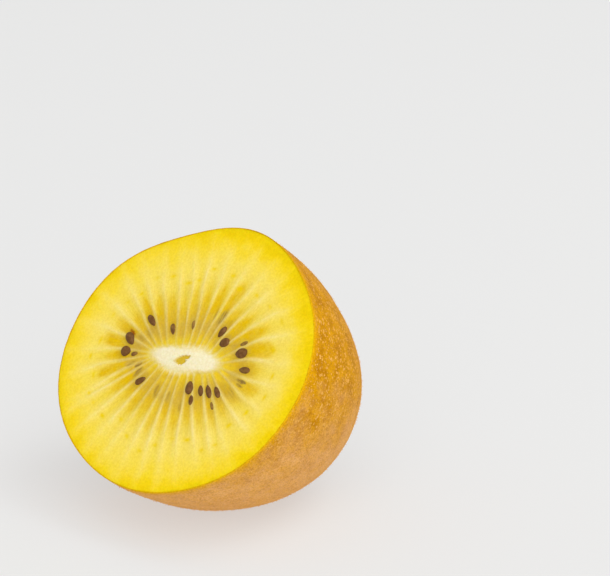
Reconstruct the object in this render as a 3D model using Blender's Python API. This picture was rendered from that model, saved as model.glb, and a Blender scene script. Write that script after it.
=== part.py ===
# Half of a golden kiwi fruit, cut crosswise, lying on its skin with the cut face
# turned up and forwards. It grew as one body: skin, flesh, rays, core and seeds.
# Metres, +Z up. The origin is on the surface it lies on, under its middle.
#
# The fruit is first shaped in its own space: the cut face lies in the plane z = 0,
# looking along +z, and the body runs down to the far end on the -z axis.

import math

import bmesh
import bpy
from mathutils import Matrix, Vector

MM = 0.001

# Outer form
CUT_RADIUS = 25.03 * MM  # mean radius of the cut face
HALF_LENGTH = 36.0 * MM  # from the cut face to the far end
END_SHIFT = 1.3 * MM  # how far the far end lies off the middle, because the fruit grew a little bent
PROFILE_POWER = 2.21  # 2 is an ellipse, more is blunter
SECTION_WAVES = (  # waves round the fruit, share of the radius, where a crest is in degrees
    (2, 0.0460, 16.3),
    (3, 0.0124, -51.7),
    (4, 0.0086, -10.6),
    (5, 0.0057, 8.9),
    (6, 0.0052, -33.9),
)

# Core: an oval of pale tissue in the middle of the cut face
CORE_LENGTH = 16.2 * MM
CORE_WIDTH = 4.8 * MM
CORE_CENTRE = (0.3 * MM, -0.05 * MM)
CORE_TURN = 6.0  # degrees from the face's own x direction
CORE_RISE = 0.35 * MM  # how far the middle of the core stands up
CORE_SHARES = (0.78, 0.5, 0.2, 0.12)  # rings inside the core, as shares of its size
PIT_DEPTH = 0.9 * MM  # the small open pit in the middle of the core

# Rays: pale walls that run from the core outwards, with seed chambers between them
RAY_COUNT = 32
FIRST_RAY = -181.7  # degrees
RAY_CROWDING = (  # waves round the core, shift in degrees, where it is largest
    (1, 5.9, 115.6),
    (2, 4.15, 52.7),
    (3, 1.94, 50.7),
)
CHAMBER_SHOULDER = 0.27  # share across a chamber where the ray's foot ends and its floor begins
RAY_RISE = 0.12 * MM
CHAMBER_DIP = 0.22 * MM
RAY_REACH = 0.78  # rays fade out at this share of the way from core to skin
RAY_FULLNESS = 0.6  # under 1 puts the strongest relief nearer the core
FACE_SHARES = (0.04, 0.1, 0.17, 0.25, 0.34, 0.45, 0.58, 0.74, 0.9)

# Seeds that the cut shows: place on the face as x and y, length, width, all in millimetres,
# and the direction of the length in degrees
SEEDS = (
    (-5.0, 4.25, 2.2, 1.05, 122),
    (-1.15, 5.95, 1.7, 0.7, 108),
    (5.3, 6.35, 2.2, 1.2, 68),
    (6.65, 4.7, 2.1, 1.65, 35),
    (10.65, 5.55, 1.7, 0.7, 33),
    (10.95, 3.85, 2.4, 1.85, 18),
    (13.0, 1.3, 2.3, 1.2, 8),
    (-10.1, 4.55, 2.6, 1.2, 148),
    (-12.95, 0.45, 2.7, 1.7, 142),
    (-12.7, -1.85, 2.1, 1.85, 20),
    (-10.7, -1.85, 1.4, 0.8, 30),
    (-6.95, -5.95, 2.3, 1.25, 40),
    (3.65, -4.4, 2.45, 1.65, 109),
    (5.05, -6.3, 1.9, 0.8, 111),
    (6.2, -4.3, 2.1, 1.1, 122),
    (7.8, -4.0, 2.7, 1.1, 131),
    (9.55, -3.65, 2.4, 1.1, 137),
    (9.7, -6.1, 1.5, 0.6, 130),
)
SEED_HEIGHT = 0.42 * MM  # how far a seed stands out of the flesh
SEED_ROOT = 0.6 * MM  # how far it reaches into the flesh
SEED_SIDES = 8
SEED_RINGS = 4

# Far end: a shallow dimple with a low ring and the stub of the old flower in it
SKIN_BANDS = 11  # bands of skin between the cut and the end rings
END_RING_RADII = (4.9 * MM, 4.1 * MM, 3.2 * MM, 2.2 * MM, 1.3 * MM, 0.8 * MM)
DIMPLE_DEPTH = 1.1 * MM
DIMPLE_RADIUS = 3.6 * MM
RING_RISE = 0.3 * MM
RING_RADIUS = 4.1 * MM
RING_WIDTH = 0.8 * MM
STUB_RISE = 0.8 * MM
STUB_RADIUS = 1.2 * MM

# How it lies
FACE_LEAN = 52.9  # degrees that the cut face is tipped forwards from facing straight up
FLAT_DEPTH = 0.5 * MM  # how much of the round side the resting flat takes away
SHARP_ANGLE = 40.0  # degrees between faces that show as an edge, such as the cut's rim

# Surface colours: linear red, green and blue, and roughness
FINISHES = {
    "skin": ((0.50, 0.27, 0.075), 0.62),
    "flesh": ((0.88, 0.68, 0.07), 0.32),
    "core": ((0.86, 0.80, 0.58), 0.40),
    "seeds": ((0.10, 0.045, 0.02), 0.30),
}
SLOTS = list(FINISHES)


def clear_objects():
    for thing in list(bpy.data.objects):
        bpy.data.objects.remove(thing, do_unlink=True)


def make_material(name):
    colour, roughness = FINISHES[name]
    material = bpy.data.materials.new("kiwi_" + name)
    material.use_nodes = True
    shader = material.node_tree.nodes["Principled BSDF"]
    shader.inputs["Base Color"].default_value = (*colour, 1.0)
    shader.inputs["Roughness"].default_value = roughness
    shader.inputs["Metallic"].default_value = 0.0
    material.diffuse_color = (*colour, 1.0)
    return material


def waves_at(angle, waves):
    # the sum of a few waves round the fruit, each with its crest where it is given
    return sum(size * math.cos(count * (angle - math.radians(crest))) for count, size, crest in waves)


def section_radius(angle):
    return CUT_RADIUS * (1.0 + waves_at(angle, SECTION_WAVES))


def ray_angle(number):
    # even steps round the core, shifted so that the rays crowd as they do on the fruit
    even = math.radians(FIRST_RAY + 360.0 * number / RAY_COUNT)
    return even + math.radians(waves_at(even, RAY_CROWDING))


def chamber_angle(number, across):
    return ray_angle(number) * (1.0 - across) + ray_angle(number + 1) * across


def core_point(angle, share=1.0):
    turn = math.radians(CORE_TURN)
    along = share * CORE_LENGTH / 2.0 * math.cos(angle)
    aside = share * CORE_WIDTH / 2.0 * math.sin(angle)
    return (
        CORE_CENTRE[0] + along * math.cos(turn) - aside * math.sin(turn),
        CORE_CENTRE[1] + along * math.sin(turn) + aside * math.cos(turn),
    )


def rim_point(angle, share=1.0):
    heading = angle + math.radians(CORE_TURN)
    radius = share * section_radius(heading)
    return (radius * math.cos(heading), radius * math.sin(heading))


def face_point(angle, out):
    # out is 0 on the core's edge and 1 on the skin
    inner = core_point(angle)
    outer = rim_point(angle)
    return tuple(a * (1.0 - out) + b * out for a, b in zip(inner, outer))


def ray_relief(out, on_ray):
    # rays stand up a little and chambers sink a little, both dying out towards the skin
    strength = math.sin(math.pi * min(out / RAY_REACH, 1.0) ** RAY_FULLNESS)
    return strength * (RAY_RISE if on_ray else -CHAMBER_DIP)


def core_relief(share):
    if share <= CORE_SHARES[-2]:
        return CORE_RISE - (PIT_DEPTH if share <= CORE_SHARES[-1] else 0.0)
    return CORE_RISE * (1.0 - share ** 2)


def end_relief(radius):
    dimple = -DIMPLE_DEPTH * math.exp(-((radius / DIMPLE_RADIUS) ** 2))
    ring = RING_RISE * math.exp(-(((radius - RING_RADIUS) / RING_WIDTH) ** 2))
    stub = STUB_RISE * math.exp(-((radius / STUB_RADIUS) ** 4))
    return dimple + ring + stub


def body_columns():
    # one column on each ray and two in each chamber, as (angle, is it on a ray)
    columns = []
    for number in range(RAY_COUNT):
        columns.append((ray_angle(number), True))
        columns.append((chamber_angle(number, CHAMBER_SHOULDER), False))
        columns.append((chamber_angle(number, 1.0 - CHAMBER_SHOULDER), False))
    return columns


def core_rings(columns):
    rings = []
    for share in reversed(CORE_SHARES):
        height = core_relief(share)
        rings.append([(*core_point(angle, share), height) for angle, _ in columns])
    rings.append([(*core_point(angle), 0.0) for angle, _ in columns])
    return rings


def flesh_rings(columns):
    rings = []
    for out in FACE_SHARES:
        rings.append([(*face_point(angle, out), ray_relief(out, on_ray)) for angle, on_ray in columns])
    rings.append([(*rim_point(angle), 0.0) for angle, _ in columns])
    return rings


def skin_ring(columns, share, depth):
    shift = END_SHIFT * (depth / HALF_LENGTH) ** 2
    ring = [rim_point(angle, share) for angle, _ in columns]
    return [(x, y + shift, -depth) for x, y in ring]


def skin_rings(columns):
    # a superellipse profile: share to the power plus depth to the power makes 1
    end_share = END_RING_RADII[0] / CUT_RADIUS
    last = math.acos(end_share ** (PROFILE_POWER / 2.0))
    rings = []
    for band in range(1, SKIN_BANDS + 1):
        swing = last * band / SKIN_BANDS
        share = math.cos(swing) ** (2.0 / PROFILE_POWER)
        depth = HALF_LENGTH * math.sin(swing) ** (2.0 / PROFILE_POWER)
        rings.append(skin_ring(columns, share, depth + end_relief(share * CUT_RADIUS)))
    for radius in END_RING_RADII[1:]:
        share = radius / CUT_RADIUS
        depth = HALF_LENGTH * (1.0 - share ** PROFILE_POWER) ** (1.0 / PROFILE_POWER)
        rings.append(skin_ring(columns, share, depth + end_relief(radius)))
    return rings


def bridge(mesh, inner, outer, slot):
    count = len(inner)
    for i in range(count):
        j = (i + 1) % count
        face = mesh.faces.new((inner[i], outer[i], outer[j], inner[j]))
        face.material_index = SLOTS.index(slot)


def make_body(materials):
    columns = body_columns()
    rings = [("core", ring) for ring in core_rings(columns)]
    rings += [("flesh", ring) for ring in flesh_rings(columns)]
    rings += [("skin", ring) for ring in skin_rings(columns)]
    mesh = bmesh.new()
    loops = [(slot, [mesh.verts.new(point) for point in ring]) for slot, ring in rings]
    pit_floor = mesh.faces.new(loops[0][1])
    pit_floor.material_index = SLOTS.index("core")
    for (_, inner), (slot, outer) in zip(loops, loops[1:]):
        bridge(mesh, inner, outer, slot)
    end_cap = mesh.faces.new(list(reversed(loops[-1][1])))
    end_cap.material_index = SLOTS.index("skin")
    return make_object("golden_kiwi_half", mesh, materials)


def make_seed(number, seed, materials):
    x, y, length, width, turn = seed
    half_height = (SEED_HEIGHT + SEED_ROOT) / 2.0
    here = Vector((x * MM, y * MM, SEED_HEIGHT - half_height))
    size = Matrix.Diagonal((length * MM / 2.0, width * MM / 2.0, half_height, 1.0))
    place = Matrix.Translation(here) @ Matrix.Rotation(math.radians(turn), 4, "Z") @ size
    mesh = bmesh.new()
    bmesh.ops.create_uvsphere(
        mesh, u_segments=SEED_SIDES, v_segments=SEED_RINGS, radius=1.0, matrix=place
    )
    for face in mesh.faces:
        face.material_index = SLOTS.index("seeds")
    return make_object("seed_%02d" % number, mesh, materials)


def make_object(name, mesh, materials):
    data = bpy.data.meshes.new(name)
    mesh.to_mesh(data)
    mesh.free()
    for material in materials:
        data.materials.append(material)
    data.shade_smooth()
    thing = bpy.data.objects.new(name, data)
    bpy.context.scene.collection.objects.link(thing)
    return thing


def apply_modifiers(thing):
    graph = bpy.context.evaluated_depsgraph_get()
    shaped = bpy.data.meshes.new_from_object(thing.evaluated_get(graph))
    thing.modifiers.clear()
    thing.data = shaped


def fuse_seeds(body, materials):
    seeds = bpy.data.collections.new("seeds")
    bpy.context.scene.collection.children.link(seeds)
    for number, seed in enumerate(SEEDS):
        grain = make_seed(number, seed, materials)
        bpy.context.scene.collection.objects.unlink(grain)
        seeds.objects.link(grain)
    union = body.modifiers.new("seeds", "BOOLEAN")
    union.operation = "UNION"
    union.solver = "EXACT"
    union.operand_type = "COLLECTION"
    union.collection = seeds
    apply_modifiers(body)
    for grain in list(seeds.objects):
        bpy.data.objects.remove(grain, do_unlink=True)
    bpy.data.collections.remove(seeds)


def lay_down(body):
    # tip the cut face forwards, put the middle over the origin, and sink the flat's depth
    body.rotation_euler.x = math.radians(FACE_LEAN)
    turned = body.rotation_euler.to_matrix()
    points = [turned @ vert.co for vert in body.data.vertices]
    lowest = Vector([min(point[axis] for point in points) for axis in range(3)])
    highest = Vector([max(point[axis] for point in points) for axis in range(3)])
    middle = (lowest + highest) / 2.0
    body.location = (-middle.x, -middle.y, -lowest.z - FLAT_DEPTH)


def cut_resting_flat(body, materials):
    # a block whose top is the surface the fruit lies on takes the flat off its round side
    mesh = bmesh.new()
    side = 4.0 * CUT_RADIUS
    place = Matrix.Translation((0.0, 0.0, -side / 2.0))
    bmesh.ops.create_cube(mesh, size=side, matrix=place)
    surface = make_object("surface_cutter", mesh, materials)
    surface.hide_render = True
    surface.display_type = "WIRE"
    flat = body.modifiers.new("resting_flat", "BOOLEAN")
    flat.operation = "DIFFERENCE"
    flat.solver = "EXACT"
    flat.object = surface


def build():
    clear_objects()
    materials = [make_material(name) for name in SLOTS]
    body = make_body(materials)
    fuse_seeds(body, materials)
    body.data.set_sharp_from_angle(angle=math.radians(SHARP_ANGLE))
    lay_down(body)
    cut_resting_flat(body, materials)


build()
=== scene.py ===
import math
import random

import bpy
import numpy as np
from mathutils import Matrix, Vector, noise


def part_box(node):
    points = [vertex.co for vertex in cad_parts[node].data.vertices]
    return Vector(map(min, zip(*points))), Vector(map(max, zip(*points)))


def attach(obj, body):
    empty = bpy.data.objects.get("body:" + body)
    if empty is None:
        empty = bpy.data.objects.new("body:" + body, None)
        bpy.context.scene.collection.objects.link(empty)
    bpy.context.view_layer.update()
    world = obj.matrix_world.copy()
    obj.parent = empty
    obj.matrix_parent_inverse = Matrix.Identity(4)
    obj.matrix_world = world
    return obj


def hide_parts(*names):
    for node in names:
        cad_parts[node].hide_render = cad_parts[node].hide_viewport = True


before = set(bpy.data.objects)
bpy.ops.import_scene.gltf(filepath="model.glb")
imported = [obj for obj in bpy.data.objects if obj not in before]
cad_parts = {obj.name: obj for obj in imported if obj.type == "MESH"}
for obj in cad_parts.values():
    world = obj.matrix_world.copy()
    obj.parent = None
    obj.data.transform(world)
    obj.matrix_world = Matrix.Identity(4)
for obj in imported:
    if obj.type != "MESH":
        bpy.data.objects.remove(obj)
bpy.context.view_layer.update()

# Half of a golden kiwi fruit, cut crosswise. Every piece is shaped in the fruit's own space:
# the cut face lies in the plane z = 0 and looks along +z, and the body runs down the -z axis.
# addPiece then turns the finished mesh to where the fruit lies.
mm = 0.001
cadNode = "golden_kiwi_half"
rng = random.Random(32)

fruitForm = {
    "cutRadius": 25.03 * mm,
    "halfLength": 36.0 * mm,
    "endShift": 1.3 * mm,        # how far the far end lies off the middle
    "profilePower": 2.21,        # 2 is an ellipse, more is blunter
    # waves round the fruit: how many, share of the radius, and where a crest is in degrees
    "sectionWaves": ((2, 0.0460, 16.3), (3, 0.0124, -51.7), (4, 0.0086, -10.6),
                     (5, 0.0057, 8.9), (6, 0.0052, -33.9)),
    "faceLean": 52.9,            # degrees the cut face is tipped forwards from facing up
    "restGap": 0.04 * mm,        # air between the resting flat and the floor
}

coreForm = {
    "length": 16.2 * mm,
    "width": 4.8 * mm,
    "centre": (0.3 * mm, -0.05 * mm),
    "turn": 6.0,                 # degrees
    # the pale core's soft edge, in millimetres from that oval, how it waves round it, and how
    # much longer it fades at the core's two ends
    "edge": -0.18,
    "edgeWaves": ((2, 0.23, 66.0), (3, 0.10, 35.0), (4, 0.28, -14.0)),
    "endFade": 1.2,
    "rise": 0.3 * mm,
    "rings": 26,
    # the open pit is two short slots that meet, in millimetres and degrees: x, y, length, width,
    # direction and strength
    "pitSlots": ((-0.50, -0.60, 2.1, 1.2, 4.0, 1.0), (0.05, 0.15, 2.5, 0.88, 20.0, 1.0)),
    "pitWander": 0.30 * mm,      # how far the pit's outline strays from them
    "pitDepth": 0.3 * mm,
}

# Rays in order round the core. For each: degrees round the core at the middle of the flesh,
# degrees it leans over outwards, how far out the darker flesh of the chamber after it ends
# (0 core, 1 skin), and how golden that chamber is (0 olive, 1 gold)
rayRows = (
    (-177.5, 4.0, 0.52, 0.9), (-166.0, 2.5, 0.57, 0.9), (-154.0, 5.0, 0.46, 0.6),
    (-148.8, 1.0, 0.50, 0.7), (-137.8, 1.0, 0.42, 0.45), (-126.8, 0.0, 0.49, 0.5),
    (-116.0, -1.0, 0.47, 0.45), (-104.5, 0.5, 0.56, 0.6), (-95.2, 4.5, 0.50, 0.5),
    (-86.0, 5.5, 0.50, 0.5), (-75.6, 3.5, 0.46, 0.5), (-65.0, 6.0, 0.47, 0.45),
    (-54.6, 2.0, 0.50, 0.55), (-46.0, 2.0, 0.48, 0.35), (-34.0, 6.0, 0.45, 0.3),
    (-21.2, 0.5, 0.55, 0.75), (-7.0, 3.0, 0.44, 0.45), (9.3, -6.0, 0.60, 0.85),
    (25.2, -6.0, 0.52, 0.85), (39.2, -8.0, 0.48, 0.65), (52.5, -5.0, 0.46, 0.5),
    (63.0, -6.5, 0.62, 0.95), (72.8, -4.5, 0.54, 0.8), (84.3, 1.0, 0.50, 0.5),
    (94.0, 2.5, 0.50, 0.35), (103.5, 3.0, 0.42, 0.35), (112.8, 0.5, 0.48, 0.5),
    (124.3, -2.0, 0.51, 0.5), (135.0, 0.0, 0.56, 0.8), (145.3, -1.0, 0.47, 0.5),
    (156.6, 1.5, 0.55, 0.85), (168.8, 4.0, 0.60, 0.95),
)

# Seeds on the face, in millimetres and degrees: x, y, length, width, direction of the length,
# and how far it stands out of the flesh. The pointed end is turned to the core.
seedRows = (
    (-5.0, 4.25, 2.2, 1.05, 122, 0.24), (-1.15, 5.95, 1.9, 0.75, 108, 0.19),
    (5.3, 6.35, 2.2, 1.2, 68, 0.36), (6.65, 4.7, 2.1, 1.65, 35, 0.38),
    (10.65, 5.55, 1.8, 0.8, 33, 0.18), (10.95, 3.85, 2.4, 1.85, 18, 0.42),
    (13.0, 1.3, 2.3, 1.2, 8, 0.28), (-10.1, 4.55, 2.6, 1.2, 148, 0.38),
    (-12.95, 0.45, 2.7, 1.7, 142, 0.42), (-12.7, -1.85, 2.1, 1.85, 20, 0.42),
    (-10.7, -1.85, 1.4, 0.8, 30, 0.24), (-6.95, -5.95, 2.3, 1.2, 40, 0.36),
    (3.65, -4.4, 2.45, 1.65, 109, 0.42), (5.05, -6.3, 2.1, 1.05, 111, 0.25),
    (6.2, -4.3, 2.1, 1.1, 122, 0.34), (7.8, -4.0, 2.7, 1.1, 131, 0.36),
    (9.55, -3.65, 2.4, 1.1, 137, 0.34), (9.7, -6.1, 1.8, 0.7, 130, 0.17),
)

# Seeds that only show through the flesh: x, y, length, width, direction, how clearly they show
sunkRows = (
    (-8.9, -3.4, 1.4, 0.5, 50, 1.0), (-10.6, -3.7, 1.7, 0.4, 44, 0.75),
    (-8.3, -4.7, 2.0, 0.8, 60, 0.5), (-2.7, -6.8, 2.2, 0.9, 100, 0.5),
    (13.3, -0.65, 2.0, 0.5, -4, 1.0), (13.3, -1.45, 1.4, 0.4, -15, 0.9),
    (11.8, -3.0, 3.6, 1.4, -25, 0.28), (4.0, 8.8, 2.6, 1.3, 70, 0.6),
    (2.4, 9.1, 2.4, 0.5, 85, 0.45), (-10.6, 1.1, 1.7, 1.0, 160, 0.35),
    (-9.2, 2.3, 2.4, 1.3, 150, 0.22), (3.4, -7.9, 1.8, 0.4, 106, 0.6),
    (0.1, -7.2, 2.0, 0.6, 96, 0.5), (6.5, 8.3, 1.8, 1.0, 55, 0.2),
)

# A rusty shred beside the leftmost seed
shredRows = ((-13.15, 1.7, 1.5, 0.55, 155, 1.0), (-12.6, 1.2, 0.8, 0.35, 40, 0.8))


def waves(angle, terms):
    # the sum of a few waves round the fruit: how many crests, size, and where one crest is
    return sum(size * np.cos(count * (angle - math.radians(crest))) for count, size, crest in terms)


def smooth(low, high, value):
    share = np.clip((value - low) / (high - low), 0.0, 1.0)
    return share * share * (3.0 - 2.0 * share)


def bell(value, centre, width):
    return np.exp(-((value - centre) / width) ** 2)


def corePoint(angle, share=1.0):
    turn = math.radians(coreForm["turn"])
    along = share * coreForm["length"] / 2.0 * np.cos(angle)
    aside = share * coreForm["width"] / 2.0 * np.sin(angle)
    return (coreForm["centre"][0] + along * math.cos(turn) - aside * math.sin(turn),
            coreForm["centre"][1] + along * math.sin(turn) + aside * math.cos(turn))


def rimPoint(angle, inset=0.0):
    heading = angle + math.radians(coreForm["turn"])
    radius = fruitForm["cutRadius"] * (1.0 + waves(heading, fruitForm["sectionWaves"])) - inset
    return radius * np.cos(heading), radius * np.sin(heading)


def facePoint(angle, out, inset=0.0):
    # out is 0 on the core's edge and 1 on the skin
    inner, outer = corePoint(angle), rimPoint(angle, inset)
    return tuple(a * (1.0 - out) + b * out for a, b in zip(inner, outer))


def bodyPoint(angle, swing, inset=0.0):
    # swing is 0 at the cut and a quarter turn at the far end
    bend = 2.0 / fruitForm["profilePower"]
    share = np.cos(swing) ** bend * (1.0 - inset / fruitForm["cutRadius"])
    depth = np.sin(swing) ** bend
    x, y = rimPoint(angle)
    # here and further on, 0.0 * angle only spreads a value over every angle
    return (x * share, y * share + fruitForm["endShift"] * depth ** 2,
            -depth * (fruitForm["halfLength"] - inset) + 0.0 * angle)


def bodyMiddle(depth):
    # how far the middle of the body lies off the middle of the cut at this depth
    return fruitForm["endShift"] * (depth / fruitForm["halfLength"]) ** 2


def findPlace():
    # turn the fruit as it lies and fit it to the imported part's box
    low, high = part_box(cadNode)
    lean = Matrix.Rotation(math.radians(fruitForm["faceLean"]), 4, "X")
    turns, quarter = np.linspace(-math.pi, math.pi, 721), np.linspace(0.0, math.pi / 2, 181)
    angle, swing = np.meshgrid(turns, quarter)
    points = np.stack(bodyPoint(angle, swing), -1).reshape(-1, 3) @ np.array(lean.to_3x3()).T
    least, most = points.min(0), points.max(0)
    middle = [(low[i] + high[i] - least[i] - most[i]) / 2.0 for i in range(2)]
    return Matrix.Translation((middle[0], middle[1], high[2] - most[2])) @ lean


place = findPlace()


def aboveFloor(points, gap):
    # what would sink into the floor is lifted straight up, which makes the resting flat
    turn = np.array(place.to_3x3())
    height = points @ turn[2] + place.translation.z
    lift = np.clip(gap - height, 0.0, None)
    return points + lift[..., None] * turn[2]


def noiseAt(points, size, seed=0.0):
    # -1 to 1; another seed takes another stretch of the same noise
    shift = Vector((seed * 3.1, seed * 7.7, seed * 1.3))
    flat = points.reshape(-1, 3) / size
    values = [noise.noise(Vector(p) + shift) for p in flat.tolist()]
    return np.array(values).reshape(points.shape[:-1])


def makeMesh(name, rings, capFirst, capLast):
    # rings of points, each joined to the next, and closed by a fan at each end
    rows, columns = rings.shape[:2]
    verts = np.concatenate([rings.reshape(-1, 3), [capFirst], [capLast]])
    index = np.arange(rows * columns).reshape(rows, columns)
    after = np.roll(index, -1, axis=1)
    quads = np.stack([index[:-1], index[1:], after[1:], after[:-1]], -1).reshape(-1, 4)
    first, last = rows * columns, rows * columns + 1
    startFan = [(first, a, b) for a, b in zip(index[0].tolist(), after[0].tolist())]
    endFan = [(last, b, a) for a, b in zip(index[-1].tolist(), after[-1].tolist())]
    mesh = bpy.data.meshes.new(name)
    mesh.from_pydata(verts.tolist(), [], quads.tolist() + startFan + endFan)
    mesh.shade_smooth()
    return mesh


def addMask(mesh, name, values, ends=(0.0, 0.0)):
    layer = mesh.attributes.new(name, "FLOAT", "POINT")
    full = np.concatenate([np.clip(values, 0.0, 1.0).ravel(), ends])
    layer.data.foreach_set("value", full.astype(np.float32))


def addVectors(mesh, name, values):
    layer = mesh.attributes.new(name, "FLOAT_VECTOR", "POINT")
    full = np.concatenate([values.reshape(-1, 3), np.zeros((2, 3))])
    layer.data.foreach_set("vector", full.astype(np.float32).ravel())


def addObject(name, data):
    item = bpy.data.objects.new(name, data)
    bpy.context.scene.collection.objects.link(item)
    return item


def addPiece(name, mesh, material):
    mesh.transform(place)
    mesh.materials.append(material)
    piece = addObject(name, mesh)
    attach(piece, "root")
    return piece


# Nodes

def tone(text):
    # a colour as it looks on screen, such as "f3da56"
    seen = [int(text[i:i + 2], 16) / 255.0 for i in (0, 2, 4)]
    return (*[((v + 0.055) / 1.055) ** 2.4 if v > 0.04045 else v / 12.92 for v in seen], 1.0)


def addNode(tree, kind, inputs=None, **settings):
    node = tree.nodes.new(kind)
    for key, value in settings.items():
        setattr(node, key, value)
    for key, value in (inputs or {}).items():
        socket = node.inputs[key]
        if isinstance(value, bpy.types.NodeSocket):
            tree.links.new(value, socket)
        else:
            socket.default_value = value
    return node


def mixColour(tree, factor, first, second, blend="MIX"):
    node = addNode(tree, "ShaderNodeMix", {0: factor, 6: first, 7: second},
                   data_type="RGBA", blend_type=blend)
    return node.outputs[2]


def sums(tree, operation, *values):
    return addNode(tree, "ShaderNodeMath", dict(enumerate(values)), operation=operation).outputs[0]


def times(tree, first, second):
    return sums(tree, "MULTIPLY", first, second)


def scaled(tree, value, factor, offset):
    return sums(tree, "MULTIPLY_ADD", value, factor, offset)


def noiseNode(tree, vector, scale, detail, roughness):
    return addNode(tree, "ShaderNodeTexNoise", {
        "Vector": vector, "Scale": scale, "Detail": detail, "Roughness": roughness})


def remap(tree, value, fromLow, fromHigh, toLow=0.0, toHigh=1.0):
    return addNode(tree, "ShaderNodeMapRange", {
        "Value": value, "From Min": fromLow, "From Max": fromHigh,
        "To Min": toLow, "To Max": toHigh}).outputs["Result"]


def ramp(tree, factor, stops):
    node = addNode(tree, "ShaderNodeValToRGB", {"Fac": factor})
    elements = node.color_ramp.elements
    for number, (position, colour) in enumerate(stops):
        stop = elements[number] if number < 2 else elements.new(position)
        stop.position = position
        stop.color = tone(colour)
    return node.outputs["Color"]


def maskOf(tree, name):
    return addNode(tree, "ShaderNodeAttribute", attribute_name=name,
                   attribute_type="GEOMETRY").outputs["Fac"]


def paintMasks(tree, tint, look, *names):
    # each colour of the look goes on where the mask of its name is
    for name in names:
        tint = mixColour(tree, maskOf(tree, name + "Mask"), tint, tone(look[name]))
    return tint


def placeOf(tree):
    # where a point is on the part, with the height above the floor as Z
    return addNode(tree, "ShaderNodeTexCoord").outputs["Object"]


def newMaterial(name):
    material = bpy.data.materials.new(name)
    material.use_nodes = True
    tree = material.node_tree
    return material, tree, tree.nodes["Principled BSDF"]


def setShader(shader, **values):
    # plain values go straight on the shader's own sockets
    for key, value in values.items():
        shader.inputs[key.replace("_", " ")].default_value = value


def addBump(tree, shader, height, strength, distance):
    bump = addNode(tree, "ShaderNodeBump", {
        "Height": height, "Strength": strength, "Distance": distance})
    tree.links.new(bump.outputs["Normal"], shader.inputs["Normal"])


def newGroup(name, inputs, outputs):
    group = bpy.data.node_groups.new(name, "ShaderNodeTree")
    for label, kind, value in inputs:
        socket = group.interface.new_socket(label, in_out="INPUT",
                                            socket_type="NodeSocket" + kind)
        if value is not None:
            socket.default_value = value
    for label, kind in outputs:
        group.interface.new_socket(label, in_out="OUTPUT", socket_type="NodeSocket" + kind)
    return group, group.nodes.new("NodeGroupInput"), group.nodes.new("NodeGroupOutput")


def useGroup(tree, group, output, vector, **inputs):
    named = {key.replace("_", " "): value for key, value in inputs.items()}
    named["Vector"] = vector
    return addNode(tree, "ShaderNodeGroup", named, node_tree=group).outputs[output]


# Shared effects

effectForm = {
    "dustAndBouncePatches": 160.0,        # to the metre
    "dustAndBounceWander": 5.0 * mm,      # how far the edge of the pale lower tan strays up and down
    "spotWaves": 2600.0,         # to the metre
    "spotWander": 0.6 * mm,      # how far a spot's outline strays from round
    "spotRange": 0.6,            # share of the largest spot's size that the smallest lacks
    "spotEdge": (-0.02, 0.09),   # where a spot's soft edge begins and is over, in cells
}


def makeMottle():
    # slow drift between two colours, with finer clouds in it
    group, given, result = newGroup("mottle", (
        ("Vector", "Vector", None), ("Colour", "Color", tone("ffffff")),
        ("Other Colour", "Color", tone("000000")), ("Scale", "Float", 100.0),
        ("Low", "Float", 0.35), ("High", "Float", 0.65)), (("Colour", "Color"), ("Mask", "Float")))
    cloud = noiseNode(group, given.outputs["Vector"], given.outputs["Scale"], 4.0, 0.6)
    mask = addNode(group, "ShaderNodeMapRange", {
        "Value": cloud.outputs["Fac"], "From Min": given.outputs["Low"],
        "From Max": given.outputs["High"]}, interpolation_type="SMOOTHSTEP").outputs["Result"]
    colour = mixColour(group, mask, given.outputs["Colour"], given.outputs["Other Colour"])
    group.links.new(colour, result.inputs["Colour"])
    group.links.new(mask, result.inputs["Mask"])
    return group


def makeGrain():
    # fine cells and crumbs for a bump, as plant tissue has
    group, given, result = newGroup("grain", (
        ("Vector", "Vector", None), ("Scale", "Float", 3000.0), ("Cell Share", "Float", 0.5)),
        (("Height", "Float"),))
    cells = addNode(group, "ShaderNodeTexVoronoi", {
        "Vector": given.outputs["Vector"], "Scale": given.outputs["Scale"]}, feature="F1")
    crumbs = noiseNode(group, given.outputs["Vector"], given.outputs["Scale"], 3.0, 0.65)
    rounded = sums(group, "SUBTRACT", 1.0, cells.outputs["Distance"])
    height = addNode(group, "ShaderNodeMix", {
        0: given.outputs["Cell Share"], 2: crumbs.outputs["Fac"], 3: rounded}, data_type="FLOAT")
    group.links.new(height.outputs[0], result.inputs["Height"])
    return group


def makeDustAndBounce():
    # pale tan that lies thicker the lower down a fruit's skin is: partly dust, partly painted light
    # bounced up from the floor
    group, given, result = newGroup("dustAndBounce", (
        ("Vector", "Vector", None), ("Thin At", "Float", 0.03), ("Thick At", "Float", 0.01)),
        (("Mask", "Float"),))
    height = addNode(group, "ShaderNodeSeparateXYZ", {0: given.outputs["Vector"]}).outputs["Z"]
    patches = noiseNode(group, given.outputs["Vector"], effectForm["dustAndBouncePatches"], 3.0, 0.6)
    wander = effectForm["dustAndBounceWander"]
    shift = remap(group, patches.outputs["Fac"], 0.35, 0.65, -wander, wander)
    uneven = sums(group, "ADD", height, shift)
    lower = remap(group, uneven, given.outputs["Thin At"], given.outputs["Thick At"])
    group.links.new(lower, result.inputs["Mask"])
    return group


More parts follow.
